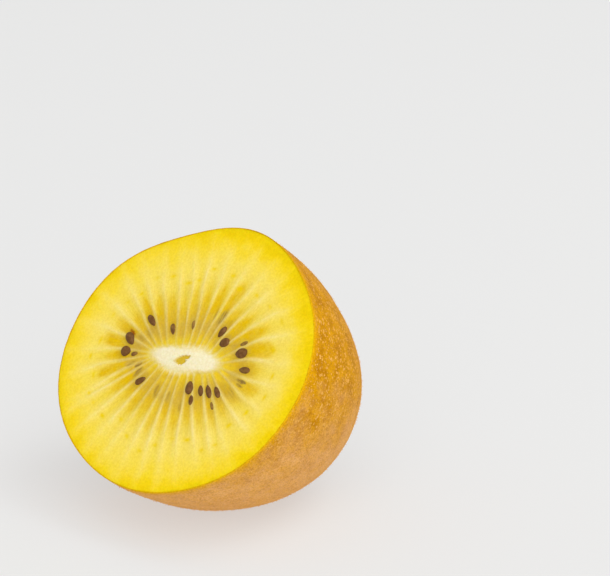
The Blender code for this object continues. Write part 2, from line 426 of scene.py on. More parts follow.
def makeSpots():
    # round spots of uneven size, strong in the middle and fading at the edge
    group, given, result = newGroup("spots", (
        ("Vector", "Vector", None), ("Scale", "Float", 1000.0), ("Size", "Float", 0.4)),
        (("Mask", "Float"),))
    wobble = noiseNode(group, given.outputs["Vector"], effectForm["spotWaves"], 2.0, 0.5)
    shift = addNode(group, "ShaderNodeVectorMath", {
        0: wobble.outputs["Color"], 1: (effectForm["spotWander"],) * 3,
        2: given.outputs["Vector"]}, operation="MULTIPLY_ADD")
    cells = addNode(group, "ShaderNodeTexVoronoi", {
        "Vector": shift.outputs["Vector"], "Scale": given.outputs["Scale"]}, feature="F1")
    chance = addNode(group, "ShaderNodeSeparateColor", {
        "Color": cells.outputs["Color"]}).outputs["Red"]
    share = scaled(group, chance, effectForm["spotRange"], 1.0 - effectForm["spotRange"])
    reach = times(group, given.outputs["Size"], share)
    short = sums(group, "SUBTRACT", reach, cells.outputs["Distance"])
    low, high = effectForm["spotEdge"]
    mask = addNode(group, "ShaderNodeMapRange", {
        "Value": short, "From Min": low, "From Max": high}, interpolation_type="SMOOTHSTEP")
    group.links.new(mask.outputs["Result"], result.inputs["Mask"])
    return group


mottle = makeMottle()
grain = makeGrain()
dustAndBounce = makeDustAndBounce()
spots = makeSpots()


def mottled(tree, here, first, second, scale, low, high):
    return useGroup(tree, mottle, "Colour", here, Colour=tone(first), Other_Colour=tone(second),
                    Scale=scale, Low=low, High=high)


# Flesh: the cut face in fine relief, and the plain body behind it inside the skin

fleshForm = {
    "columns": 14,               # mesh columns in each chamber
    "gather": 0.55,              # how much the columns crowd towards the rays
    "rings": 112,
    "rise": 0.03 * mm,           # of a ray
    "dip": 0.09 * mm,            # of a chamber
    "stainDip": 0.07 * mm,       # of the flesh over a sunken seed
    "backRings": 24,
    "backAir": 0.08 * mm,        # between the back of the flesh and the skin's inner side
    "endRoom": 1.6 * mm,         # how much shorter the flesh is, for the dimple of the far end
    "skinInset": 0.11 * mm,      # how far inside the skin's outer side the flesh ends
    "waver": 0.10 * mm,          # slow unevenness of the knife's cut
    "crumb": 0.022 * mm,         # fine unevenness of the moist surface
    "rimDrop": 0.06 * mm,        # the flesh rounds down a little at the skin
    "cloud": 1.5 * mm,           # size of the soft clouds in every colour of the face
    "speck": 0.5 * mm,           # and of the specks
    "streak": 0.035,             # and of the streaks, in radians round the core
    "sway": 0.9,                 # degrees that a ray wanders to either side at most
    # half width of a ray's bright line and of the soft fan round it, in millimetres: at the core,
    # and how much it gains up to the skin
    "line": (0.15, 0.42),
    "fan": (0.2, 1.5),
    "lineFoot": (0.22, 0.35),    # how much wider the line starts, and over how many millimetres
    "rayFade": 0.40,             # the last part of a ray, over which it fades away
    # how far before (-) or after the end in rayRows the dark part of a chamber starts to fade and
    # is gone, and the golden tongue in it starts to show, shows, starts to fade and is gone
    "deepEnd": (-0.13, 0.06),
    "goldStart": (-0.34, -0.2),
    "goldEnd": (-0.09, 0.05),
    "fleshDepth": 19.0,          # millimetres from the core to the skin, about
    "spotSize": (0.55, 0.32),    # of the small golden spots, across and along, in millimetres
    # where the dark part of the chambers lies further out (or in): direction and width of the
    # sector in degrees, and how far
    "deepShift": ((-32.0, 30.0, 0.085), (108.0, 20.0, -0.06), (-175.0, 35.0, -0.03)),
    # where the golden rim under the skin is wider (or narrower), in the same way
    "rimShift": ((22.0, 68.0, 0.05), (-128.0, 55.0, -0.045), (132.0, 32.0, -0.05)),
}

fleshLook = {
    # colours from the core's edge (0) to the skin (1) of the pale flesh, the chambers and the rays
    "pale": ((0.0, "ead04c"), (0.1, "debe4c"), (0.2, "d6b852"), (0.3, "e2c750"), (0.4, "ecd352"),
             (0.5, "f2da5e"), (0.6, "f6df6a"), (0.7, "f7e066"), (0.8, "f8de52"), (0.9, "f8da30"),
             (0.97, "f5d610"), (1.0, "eed008")),
    "deep": ((0.0, "f0ce26"), (0.06, "ecc926"), (0.14, "d9b53c"), (0.22, "d4b046"), (0.3, "dfbd40"),
             (0.38, "eecf34"), (0.46, "f2d436"), (0.56, "f4d83a"), (0.66, "f5da44"), (0.78, "f6da36"),
             (0.9, "f5d500"), (1.0, "eecb00")),
    "ray": ((0.0, "e8d066"), (0.15, "e2ca76"), (0.3, "ecd684"), (0.42, "f3de8c"), (0.6, "f8e690"),
            (0.8, "f9e272"), (1.0, "f7da34")),
    "gold": "e6be00",
    "spot": "f0d000",
    "halo": "b48f30",
    "stain": "876a38",
    "shred": "a05a08",
    "core": "f6edca",
    "coreEdge": "f2e4ae",
    "pit": "d8b832",
    "thread": "f4efd8",          # darker threads along the fibres of the inner flesh
    "grain": "f5f2e4",           # darker parts of the fine grain
}


def chamberTraits():
    # what differs from ray to ray and from chamber to chamber
    ranges = {"ray": (0.6, 1.0), "reach": (0.90, 1.06), "sway": (-1.0, 1.0), "phase": (0.0, 1.0),
              "spotAt": (0.54, 0.69), "spotAcross": (0.35, 0.65), "spot": (0.6, 1.2),
              "depth": (0.75, 1.0), "tail": (0.25, 0.9), "spread": (0.7, 1.5)}
    return {key: np.array([rng.uniform(*span) for _ in rayRows]) for key, span in ranges.items()}


def ellipses(points, rows, softness, grow=0.0):
    # soft ellipses on the face, each row x, y, length, width, direction and strength
    total = np.zeros(points.shape[:-1])
    for x, y, length, width, direction, strength in rows:
        heading = math.radians(direction)
        dx, dy = points[..., 0] - x * mm, points[..., 1] - y * mm
        along = dx * math.cos(heading) + dy * math.sin(heading)
        aside = -dx * math.sin(heading) + dy * math.cos(heading)
        reach = np.hypot(along / ((length + grow) * mm / 2.0), aside / ((width + grow) * mm / 2.0))
        total = np.maximum(total, strength * (1.0 - smooth(1.0 - softness, 1.0 + softness, reach)))
    return total


def rayAngle(number, out):
    # where a ray is: as rayRows says halfway out, and leaning over to both sides of that
    count = len(rayRows)
    rows = np.array(rayRows)[number % count]
    leaning = 0.709 * np.sin(math.pi * (out - 0.5) / 1.1)
    return np.radians(rows[..., 0] + rows[..., 1] * leaning) + 2.0 * math.pi * (number // count)


def makeFlesh(material):
    count, columns = len(rayRows), fleshForm["columns"]
    traits = chamberTraits()
    step = np.arange(columns) / columns
    across = np.tile(step - fleshForm["gather"] * np.sin(2.0 * math.pi * step) / (2.0 * math.pi), count)
    chamber = np.repeat(np.arange(count), columns)
    following = (chamber + 1) % count
    nearLeft = across < 0.5
    out = np.linspace(0.0, 1.0, fleshForm["rings"])[:, None]

    def nearRay(key):
        return np.where(nearLeft, traits[key][chamber], traits[key][following])

    def between(key):
        return traits[key][chamber] * (1.0 - across) + traits[key][following] * across

    def rayWidth(key):
        start, gain = fleshForm[key]
        return start + gain * out * nearRay("spread")

    def shifted(key):
        # how far out the colours are moved in the sectors that fleshForm gives
        total = 0.0
        for direction, sector, far in fleshForm[key]:
            turned = (np.degrees(angle) - direction + 180.0) % 360.0 - 180.0
            total = total + far * bell(turned, 0.0, sector)
        return total

    wander = np.sin(2.0 * math.pi * (out * 1.6 + between("phase"))) * np.sin(math.pi * out)
    wander = wander * between("sway") * math.radians(fleshForm["sway"])
    leftAngle, rightAngle = rayAngle(chamber, out), rayAngle(chamber + 1, out)
    angle = leftAngle * (1.0 - across) + rightAngle * across + wander
    x, y = facePoint(angle, out, fleshForm["skinInset"])
    face = np.stack([x, y, 0.0 * x], -1)
    left = np.stack(facePoint(leftAngle, out), -1)
    right = np.stack(facePoint(rightAngle, out), -1)
    width = np.linalg.norm(right - left, axis=-1) / mm
    fromRay = width * np.where(nearLeft, across, 1.0 - across)
    edgeX, edgeY = corePoint(angle)
    fromCore = np.hypot(x - edgeX, y - edgeY) / mm
    cloud = noiseAt(face, fleshForm["cloud"], 1.0)
    speck = noiseAt(face, fleshForm["speck"], 2.0)
    # streaks change fast round the face and slowly outwards
    spread = np.stack([np.cos(angle), np.sin(angle), 0.25 * out + 0.0 * angle], -1)
    streak = noiseAt(spread, fleshForm["streak"], 3.0)

    # pale rays, and the darker flesh of the chambers between them with rounded outer ends
    foot, footLength = fleshForm["lineFoot"]
    lineWidth = rayWidth("line") + foot * np.exp(-fromCore / footLength)
    line = np.exp(-(fromRay / lineWidth) ** 2)
    fan = 0.5 * np.exp(-(fromRay / rayWidth("fan")) ** 2) * smooth(0.25, 0.55, out)
    reach = nearRay("reach")
    shown = nearRay("ray") * (1.0 - smooth(reach - fleshForm["rayFade"], reach, out))
    rays = np.maximum(line, fan) * shown * (0.88 + 0.35 * cloud + 0.6 * streak)
    wide = 0.50 + 2.4 * np.clip(out - 0.3, 0.0, 0.4)
    hollow = smooth(0.04, wide, fromRay + 0.22 * streak)
    rounded = smooth(0.0, 0.45, fromRay / width)
    ends = np.array(rayRows)[chamber, 2]
    tip = out + 0.16 * np.abs(2.0 * across - 1.0) ** 2 + 0.05 * cloud + 0.03 * streak
    fade, gone = fleshForm["deepEnd"]
    ended = (1.0 - traits["tail"][chamber]) * smooth(ends + fade, ends + gone, tip)
    inside = smooth(-0.03, 0.03, out) * (1.0 - ended)
    deep = hollow * inside * traits["depth"][chamber] * (0.95 + 0.35 * cloud + 0.3 * streak)
    golden = np.array(rayRows)[chamber, 3]
    (starts, shows), (fade, gone) = fleshForm["goldStart"], fleshForm["goldEnd"]
    tongue = smooth(ends + starts, ends + shows, tip) * (1.0 - smooth(ends + fade, ends + gone, tip))
    gold = golden * hollow * tongue * (1.2 + 0.6 * cloud + 0.5 * speck)
    paleOut = out + shifted("rimShift") * smooth(0.7, 0.85, out)
    deepOut = paleOut - shifted("deepShift")

    # a small golden spot in each chamber, halos round the seeds, stains and the shred
    aside = width * (across - traits["spotAcross"][chamber]) / fleshForm["spotSize"][0]
    ahead = (out - traits["spotAt"][chamber]) * fleshForm["fleshDepth"] / fleshForm["spotSize"][1]
    spot = np.exp(-(aside ** 2 + ahead ** 2) * (1.0 - 0.8 * speck)) * traits["spot"][chamber]
    halo = ellipses(face, seedRows, 0.9, 1.2)
    stain = ellipses(face, sunkRows, 0.45, 0.15) * (0.9 + 1.3 * streak)
    shred = ellipses(face, shredRows, 0.3) * (1.0 + 0.5 * speck)

    def paleCore(away, edgeAngle, noises, rayLine):
        shift = coreForm["edge"] + waves(edgeAngle, coreForm["edgeWaves"])
        fade = 0.85 + coreForm["endFade"] * np.cos(edgeAngle) ** 2
        return 1.0 - smooth(-fade, 0.7, away - shift + noises - 0.5 * rayLine)

    faceNoise = 0.3 * cloud + 0.3 * speck + 0.5 * streak
    core = paleCore(fromCore, angle, faceNoise, line * nearRay("ray"))
    relief = smooth(0.0, 0.08, out) * (1.0 - smooth(0.55, 0.85, out))
    face[..., 2] = relief * (fleshForm["rise"] * line * nearRay("ray") - fleshForm["dip"] * rounded)
    face[..., 2] -= fleshForm["stainDip"] * stain

    # the core, ring by ring from the middle
    share = (np.arange(coreForm["rings"]) + 0.5)[:, None] / coreForm["rings"]
    cx, cy = corePoint(angle[:1], share)
    middle = np.stack([cx, cy, 0.0 * cx], -1)
    inwards = np.hypot(cx - edgeX[:1], cy - edgeY[:1]) / mm
    coreCloud = noiseAt(middle, fleshForm["cloud"], 1.0)
    coreSpeck = noiseAt(middle, fleshForm["speck"], 2.0)
    wobble = noiseAt(middle, 0.7 * mm, 4.0) + noiseAt(middle, 0.3 * mm, 13.0)
    ragged = middle + coreForm["pitWander"] * wobble[..., None]
    pit = ellipses(ragged, coreForm["pitSlots"], 0.25)
    middle[..., 2] = coreForm["rise"] * (1.0 - share ** 2) - coreForm["pitDepth"] * pit
    coreNoise = 0.3 * coreCloud + 0.3 * coreSpeck + 0.5 * streak[:1] * share ** 4
    coreInside = paleCore(-inwards, angle[:1], coreNoise, line[:1] * nearRay("ray") * share ** 8)

    # the back of the flesh, just inside the skin
    gap = fleshForm["skinInset"] + fleshForm["backAir"]
    swing = np.linspace(0.0, math.pi / 2, fleshForm["backRings"] + 1)[1:-1, None]
    back = np.stack(bodyPoint(angle[-1:] + 0.0 * swing, swing, gap), -1)
    endDepth = fruitForm["halfLength"] - gap - fleshForm["endRoom"]
    back[..., 2] = np.maximum(back[..., 2], -endDepth)
    back = aboveFloor(back, fruitForm["restGap"] + gap)

    front = np.concatenate([middle, face])
    front[..., 2] += (fleshForm["waver"] * noiseAt(front, 14.0 * mm, 5.0)
                      + fleshForm["crumb"] * noiseAt(front, 0.5 * mm, 6.0))
    front[len(middle):, :, 2] -= fleshForm["rimDrop"] * smooth(0.95, 1.0, out)
    rings = np.concatenate([front, back])
    mid = (*coreForm["centre"], float(front[0, :, 2].mean()))
    mesh = makeMesh("kiwi_flesh", rings, mid, (0.0, bodyMiddle(endDepth), -endDepth))

    def whole(faceValues, coreValues=0.0, backValues=0.0):
        parts = ((coreValues, middle), (faceValues, face), (backValues, back))
        return np.concatenate([np.broadcast_to(values, like.shape[:2]) for values, like in parts])

    for name, values in (("outwards", out), ("deepOut", deepOut), ("paleOut", paleOut)):
        addMask(mesh, name, whole(values, 0.0, 1.0), (0.0, 1.0))
    for name, values in (("deep", deep), ("gold", gold), ("spot", spot), ("halo", halo),
                         ("shred", shred), ("stain", stain)):
        addMask(mesh, name + "Mask", whole(values))
    addMask(mesh, "rayMask", whole(rays, rays[:1]))
    addMask(mesh, "inwards", whole(0.0, inwards / 2.4), (1.0, 0.0))
    addMask(mesh, "coreMask", whole(core, coreInside), (1.0, 0.0))
    addMask(mesh, "pitMask", whole(0.0, pit))
    # fibres run outwards: fast changes round the face, slow ones along it
    around = whole(angle, angle[:1], angle[-1:])
    along = whole(out * 5.0, share * 3.0 - 3.0)
    addVectors(mesh, "fibre", np.stack([57.0 * np.cos(around), 57.0 * np.sin(around), along], -1))
    return addPiece("kiwi_flesh", mesh, material)


def makeFleshMaterial():
    material, tree, shader = newMaterial("goldenFlesh")
    here = placeOf(tree)
    fibre = addNode(tree, "ShaderNodeAttribute", attribute_name="fibre",
                    attribute_type="GEOMETRY").outputs["Vector"]
    streaks = noiseNode(tree, fibre, 1.1, 4.0, 0.6).outputs["Fac"]
    fineStreaks = noiseNode(tree, fibre, 2.6, 2.0, 0.5).outputs["Fac"]
    cloudy = useGroup(tree, mottle, "Mask", here, Scale=330.0, Low=0.30, High=0.72)
    blots = useGroup(tree, mottle, "Mask", here, Scale=1100.0, Low=0.36, High=0.60)
    drift = sums(tree, "ADD", scaled(tree, cloudy, 0.10, -0.05), scaled(tree, streaks, 0.12, -0.06))
    drifting = sums(tree, "ADD", maskOf(tree, "paleOut"), drift)
    pale = ramp(tree, drifting, fleshLook["pale"])
    deep = ramp(tree, sums(tree, "ADD", maskOf(tree, "deepOut"), drift), fleshLook["deep"])
    chambers = times(tree, maskOf(tree, "deepMask"), remap(tree, streaks, 0.3, 0.7, 1.15, 0.8))
    tint = mixColour(tree, chambers, pale, deep)
    gold = times(tree, maskOf(tree, "goldMask"), remap(tree, blots, 0.0, 1.0, 0.7, 1.1))
    tint = mixColour(tree, gold, tint, tone(fleshLook["gold"]))
    tint = paintMasks(tree, tint, fleshLook, "halo")
    stain = times(tree, maskOf(tree, "stainMask"), remap(tree, fineStreaks, 0.38, 0.6, 0.3, 1.25))
    tint = mixColour(tree, stain, tint, tone(fleshLook["stain"]))
    threads = ramp(tree, fineStreaks, ((0.34, fleshLook["thread"]), (0.54, "ffffff")))
    tint = mixColour(tree, remap(tree, maskOf(tree, "outwards"), 0.75, 0.45), tint,
                     mixColour(tree, 1.0, tint, threads, "MULTIPLY"))
    rays = times(tree, maskOf(tree, "rayMask"), remap(tree, streaks, 0.3, 0.7, 0.75, 1.05))
    tint = mixColour(tree, rays, tint, ramp(tree, drifting, fleshLook["ray"]))
    tint = paintMasks(tree, tint, fleshLook, "spot", "shred")
    core = mixColour(tree, remap(tree, maskOf(tree, "inwards"), 0.0, 0.6),
                     tone(fleshLook["coreEdge"]), tone(fleshLook["core"]))
    tint = mixColour(tree, maskOf(tree, "coreMask"), tint, core)
    tint = paintMasks(tree, tint, fleshLook, "pit")
    fine = mottled(tree, here, fleshLook["grain"], "ffffff", 2600.0, 0.3, 0.7)
    tint = mixColour(tree, 1.0, tint, fine, "MULTIPLY")
    tree.links.new(tint, shader.inputs["Base Color"])
    crumbs = useGroup(tree, grain, "Height", here, Scale=3600.0, Cell_Share=0.5)
    height = sums(tree, "ADD", crumbs, times(tree, streaks, 1.2))
    addBump(tree, shader, height, 0.2, 0.05 * mm)
    tree.links.new(remap(tree, cloudy, 0.0, 1.0, 0.36, 0.52), shader.inputs["Roughness"])
    setShader(shader, Specular_IOR_Level=0.05, Subsurface_Weight=0.18,
              Subsurface_Radius=(1.0, 0.6, 0.15), Subsurface_Scale=0.9 * mm)
    return material


# Skin: a thin closed shell whose edge shows round the cut

skinForm = {
    "thickness": 0.09 * mm,
    "columns": 384,
    "outerRings": 160,
    "innerRings": 36,
    "lumps": 0.10 * mm,          # broad unevenness of the skin
    "pores": 0.03 * mm,          # fine unevenness
    "edgeNicks": 0.06 * mm,      # unevenness of the cut edge
    "dimpleDepth": 1.1 * mm,
    "dimpleRadius": 3.6 * mm,
    "ringRise": 0.3 * mm,
    "ringRadius": 4.1 * mm,
    "ringWidth": 0.8 * mm,
    "stubRise": 0.8 * mm,
    "stubRadius": 1.2 * mm,
    "crackRadius": 1.9 * mm,     # of the ragged crack round the stub
    "crackWidth": 0.5 * mm,
    "crackDepth": 0.3 * mm,
    "crackRoom": 0.45 * mm,      # how far the inner side keeps clear of the crack
    "scarEdge": (3.0 * mm, 5.4 * mm),    # radius where the scar starts to fade and is gone
    "bandWaver": 0.7 * mm,       # how far the clear band under the cut strays up and down
    "bandEdge": (0.2 * mm, 2.3 * mm),    # depth where that band starts to fade and is gone
    "lipDepth": 0.25 * mm,
}

skinLook = {
    "amber": "e0a000",
    "brown": "c48400",
    "tan": "f4bc80",
    "paintedShadeBronze": "a87440",          # of the painted shade on the side turned away from the lights
    "paintedShadeSide": (-0.62, 0.78, 0.0),
    "paintedShadeEdge": (-2.0 * mm, 14.0 * mm),  # distance to that side where it begins and is full
    "paintedShade": 0.8,
    "speckle": "f4ba60",
    "nearCut": "e8aa08",
    "lip": "e8b608",             # the thin edge round the cut
    "scar": "b98850",
    "crack": "5e3c18",
    "grain": "e2d9c8",           # darker parts of the fine grain
    "sheen": "f2b060",
    "speckles": 1650.0,          # to the metre
    "dustAndBounceFrom": 27.5 * mm,       # height above which the pale tan (dust and painted floor bounce light) is thin
    "dustAndBounceTo": 14.5 * mm,         # height below which it is thick
}


def endRelief(radius):
    dimple = -skinForm["dimpleDepth"] * np.exp(-(radius / skinForm["dimpleRadius"]) ** 2)
    ring = skinForm["ringRise"] * bell(radius, skinForm["ringRadius"], skinForm["ringWidth"])
    stub = skinForm["stubRise"] * np.exp(-(radius / skinForm["stubRadius"]) ** 4)
    return dimple + ring + stub


def skinPoint(angle, swing, inset=0.0):
    point = np.stack(bodyPoint(angle, swing, inset), -1)
    radius = np.hypot(point[..., 0], point[..., 1] - bodyMiddle(-point[..., 2]))
    point[..., 2] -= endRelief(radius)
    return point, radius


def roughen(points):
    outwards = points / np.maximum(np.linalg.norm(points, axis=-1, keepdims=True), 1e-9)
    lumps = (skinForm["lumps"] * noiseAt(points, 5.0 * mm, 7.0)
             + skinForm["pores"] * noiseAt(points, 0.9 * mm, 8.0))
    return points + outwards * (lumps * smooth(0.0, 1.2 * mm, -points[..., 2]))[..., None]


def shellSide(angle, rings, inset):
    # rings crowd a little towards the far end, whose relief is the finest
    step = np.linspace(0.0, 1.0, rings + 1)[:-1, None]
    swing = math.pi / 2.0 * (step + 0.12 * step * (1.0 - step))
    return skinPoint(angle[None, :] + 0.0 * swing, swing, inset)


def makeSkin(material):
    angle = np.linspace(-math.pi, math.pi, skinForm["columns"], endpoint=False)
    outer, radius = shellSide(angle, skinForm["outerRings"], 0.0)
    inner, _ = shellSide(angle, skinForm["innerRings"], skinForm["thickness"])
    outer = roughen(outer)
    ragged = radius * (1.0 + 0.35 * noiseAt(outer, 1.6 * mm, 10.0))
    crack = bell(ragged, skinForm["crackRadius"], skinForm["crackWidth"])
    crack = crack * (0.6 + 0.8 * noiseAt(outer, 1.2 * mm, 11.0))
    outer[..., 2] += skinForm["crackDepth"] * np.clip(crack, 0.0, 1.0)
    nicks = skinForm["edgeNicks"] * noiseAt(outer[:1], 0.9 * mm, 9.0)[0]
    outer[0, :, 2] += nicks
    inner[0, :, 2] += nicks - 0.02 * mm
    outer = aboveFloor(outer, fruitForm["restGap"])
    innerRadius = np.hypot(inner[..., 0], inner[..., 1] - bodyMiddle(-inner[..., 2]))
    inner[..., 2] += skinForm["crackRoom"] * (1.0 - smooth(3.0 * mm, 6.0 * mm, innerRadius))
    inner = aboveFloor(inner, fruitForm["restGap"] + skinForm["thickness"])
    # the inside runs from its own far end up to the cut, then over the edge and down outside
    ends = [(0.0, fruitForm["endShift"], float(side[-1, :, 2].mean())) for side in (inner, outer)]
    mesh = makeMesh("kiwi_skin", np.concatenate([inner[::-1], outer]), *ends)
    hidden = np.zeros(inner.shape[:2])
    underCut = -outer[..., 2] + skinForm["bandWaver"] * noiseAt(outer, 1.1 * mm, 12.0)
    band = 1.0 - smooth(*skinForm["bandEdge"], underCut)
    addMask(mesh, "cutMask", np.concatenate([hidden + 1.0, band]))
    lip = 1.0 - smooth(0.0, skinForm["lipDepth"], -outer[..., 2])
    addMask(mesh, "lipMask", np.concatenate([hidden + 1.0, lip]))
    scarred = 1.0 - smooth(*skinForm["scarEdge"], ragged)
    addMask(mesh, "scarMask", np.concatenate([hidden, scarred]), (0.0, 1.0))
    addMask(mesh, "crackMask", np.concatenate([hidden, crack]), (0.0, 0.2))
    return addPiece("kiwi_skin", mesh, material)


def dustAndBounceOn(tree, here):
    return useGroup(tree, dustAndBounce, "Mask", here,
                    Thin_At=skinLook["dustAndBounceFrom"], Thick_At=skinLook["dustAndBounceTo"])


def makeSkinMaterial():
    material, tree, shader = newMaterial("kiwiSkin")
    here = placeOf(tree)
    tint = mottled(tree, here, skinLook["amber"], skinLook["brown"], 380.0, 0.38, 0.68)
    # the pale tan lower down is partly dust and partly painted light bounced up from the floor
    lower = dustAndBounceOn(tree, here)
    grainy = useGroup(tree, mottle, "Mask", here, Scale=2400.0, Low=0.32, High=0.68)
    blotchy = useGroup(tree, mottle, "Mask", here, Scale=420.0, Low=0.36, High=0.64)
    cover = sums(tree, "ADD", scaled(tree, grainy, 0.32, 0.30), times(tree, blotchy, 0.20))
    tint = mixColour(tree, times(tree, cover, lower), tint, tone(skinLook["tan"]))
    clear = times(tree, maskOf(tree, "cutMask"), remap(tree, grainy, 0.0, 1.0, 1.0, 0.6))
    tint = mixColour(tree, clear, tint, tone(skinLook["nearCut"]))
    # painted shade: the skin turns bronze towards the side away from the lights, and its speckles dim
    # there
    away = addNode(tree, "ShaderNodeVectorMath", {0: here, 1: skinLook["paintedShadeSide"]},
                   operation="DOT_PRODUCT").outputs["Value"]
    paintedShade = remap(tree, away, *skinLook["paintedShadeEdge"], 0.0, skinLook["paintedShade"])
    tint = mixColour(tree, paintedShade, tint, tone(skinLook["paintedShadeBronze"]))
    large = useGroup(tree, spots, "Mask", here, Scale=skinLook["speckles"], Size=0.5)
    small = useGroup(tree, spots, "Mask", here, Scale=2.1 * skinLook["speckles"], Size=0.42)
    # speckles show less on the pale lower skin (dust and painted bounce light), near the cut and in the
    # painted shade on the side away from the lights
    speckles = sums(tree, "MAXIMUM", large, times(tree, small, 0.12))
    bare = sums(tree, "SUBTRACT", 1.0, maskOf(tree, "cutMask"))
    shown = times(tree, speckles, scaled(tree, lower, -0.5, 0.9))
    shown = times(tree, shown, scaled(tree, bare, 0.7, 0.3))
    shown = times(tree, shown, scaled(tree, paintedShade, -0.7, 1.0))
    tint = mixColour(tree, shown, tint, tone(skinLook["speckle"]))
    tint = paintMasks(tree, tint, skinLook, "lip", "scar", "crack")
    fine = mottled(tree, here, skinLook["grain"], "ffffff", 3300.0, 0.34, 0.60)
    tint = mixColour(tree, 1.0, tint, fine, "MULTIPLY")
    tree.links.new(tint, shader.inputs["Base Color"])
    crumbs = useGroup(tree, grain, "Height", here, Scale=3200.0, Cell_Share=0.35)
    relief = sums(tree, "ADD", times(tree, crumbs, 0.6), shown)
    addBump(tree, shader, relief, 0.8, 0.10 * mm)
    tree.links.new(remap(tree, speckles, 0.0, 1.0, 0.55, 0.72), shader.inputs["Roughness"])
    setShader(shader, Specular_IOR_Level=0.02, Sheen_Weight=0.14, Sheen_Roughness=0.25,
              Sheen_Tint=tone(skinLook["sheen"]))
    return material


# Seeds: pointed ovals lying in their chambers

seedForm = {
    "rings": 14,
    "sides": 24,
    "root": 0.55 * mm,           # how deep a seed reaches into the flesh
    "egg": 0.16,                 # how much fatter the outer half is
    "lumps": 0.06,               # unevenness, as a share of its size
}

seedLook = {
    "dark": "66421c",
    "light": "80592e",
    "film": "a88434",            # moist flesh over the seeds that hardly stand out
}


def makeSeed(number, row, material):
    x, y, length, width, direction, stands = row
    heading = math.radians(direction)
    if x * math.cos(heading) + y * math.sin(heading) < 0.0:
        heading += math.pi
    swing = (np.arange(seedForm["rings"]) + 0.5)[:, None] / seedForm["rings"] * math.pi
    around = np.arange(seedForm["sides"])[None, :] / seedForm["sides"] * 2.0 * math.pi
    along = np.cos(swing) + 0.0 * around
    pointed = 0.9 + 0.4 * (1.0 - np.cos(swing)) / 2.0
    plump = np.sin(swing) ** pointed * (1.0 + seedForm["egg"] * np.cos(swing))
    high = (stands * mm + seedForm["root"]) / 2.0
    local = np.stack([along * length * mm / 2.0, plump * np.cos(around) * width * mm / 2.0,
                      plump * np.sin(around) * high], -1)
    local *= (1.0 + seedForm["lumps"] * noiseAt(local, 0.6 * mm, 20.0 + number))[..., None]
    spin = np.array(((math.cos(heading), -math.sin(heading), 0.0),
                     (math.sin(heading), math.cos(heading), 0.0), (0.0, 0.0, 1.0)))
    spot = np.array((x * mm, y * mm, stands * mm - high))
    ends = [np.array((side * length * mm / 2.0, 0.0, 0.0)) @ spin.T + spot for side in (1.0, -1.0)]
    name = "kiwi_seed_%02d" % (number + 1)
    mesh = makeMesh(name, local @ spin.T + spot, *ends)
    film = 0.75 * smooth(0.30, 0.08, stands) + 0.5 * noiseAt(local, 0.5 * mm, 40.0 + number)
    addMask(mesh, "filmMask", film * smooth(0.34, 0.24, stands))
    return addPiece(name, mesh, material)


def makeSeedMaterial():
    material, tree, shader = newMaterial("kiwiSeed")
    here = placeOf(tree)
    tint = mottled(tree, here, seedLook["dark"], seedLook["light"], 1500.0, 0.38, 0.72)
    tint = paintMasks(tree, tint, seedLook, "film")
    tree.links.new(tint, shader.inputs["Base Color"])
    pits = useGroup(tree, grain, "Height", here, Scale=4200.0, Cell_Share=0.9)
    addBump(tree, shader, pits, 0.5, 0.04 * mm)
    setShader(shader, Roughness=0.45, Specular_IOR_Level=0.16)
    return material


# Low raised flecks all over the skin, and sparse short hairs: each a small closed pyramid

fuzzForm = {
    # how many, smallest and largest radius, smallest and largest height, and corners
    "flecks": (11000, 0.05 * mm, 0.13 * mm, 0.03 * mm, 0.11 * mm, 5),
    "hairs": (5000, 0.035 * mm, 0.055 * mm, 0.12 * mm, 0.36 * mm, 3),
    "root": 0.05 * mm,           # how far each reaches into the skin
    "lean": 0.6,                 # how far the tips lean over
    "lowest": 1.2 * mm,          # none grows nearer to the floor than this
}

fuzzLook = {
    "light": "e8ac58",
    "dark": "d29434",
    "low": "e2ac60",             # on the pale lower skin, partly dust and partly painted bounce light
}


def makeFuzz(name, form, material):
    count, thinnest, thickest, lowest, highest, corners = form
    draws = np.array([[rng.random() for _ in range(6)] for _ in range(count)])
    angle = (draws[:, 0] * 2.0 - 1.0) * math.pi
    swing = np.arcsin(0.025 + 0.96 * draws[:, 1])
    point = roughen(skinPoint(angle, swing)[0])
    along = skinPoint(angle, swing + 0.01)[0] - skinPoint(angle, swing)[0]
    side = skinPoint(angle + 0.01, swing)[0] - skinPoint(angle, swing)[0]
    along /= np.linalg.norm(along, axis=-1, keepdims=True)
    side /= np.linalg.norm(side, axis=-1, keepdims=True)
    normal = np.cross(along, side)
    normal /= np.linalg.norm(normal, axis=-1, keepdims=True)
    wide = (thinnest + (thickest - thinnest) * draws[:, 2] ** 2)[:, None]
    tall = (lowest + (highest - lowest) * draws[:, 3])[:, None]
    lean = along * (draws[:, 4:5] - 0.25) + side * (draws[:, 5:6] - 0.5)
    base = point - normal * fuzzForm["root"]
    steps = [2.0 * math.pi * corner / corners for corner in range(corners)]
    rim = [base + (along * math.cos(turn) + side * math.sin(turn)) * wide for turn in steps]
    verts = np.stack(rim + [point + (normal + lean * fuzzForm["lean"]) * tall], 1)
    height = (point @ np.array(place.to_3x3()).T)[:, 2] + place.translation.z
    verts = verts[height > fuzzForm["lowest"]]
    pattern = [(corner, (corner + 1) % corners, corners) for corner in range(corners)]
    pattern += [(0, corner + 1, corner) for corner in range(1, corners - 1)]
    faces = np.arange(len(verts))[:, None, None] * (corners + 1) + np.array(pattern)
    mesh = bpy.data.meshes.new(name)
    mesh.from_pydata(verts.reshape(-1, 3).tolist(), [], faces.reshape(-1, 3).tolist())
    return addPiece(name, mesh, material)


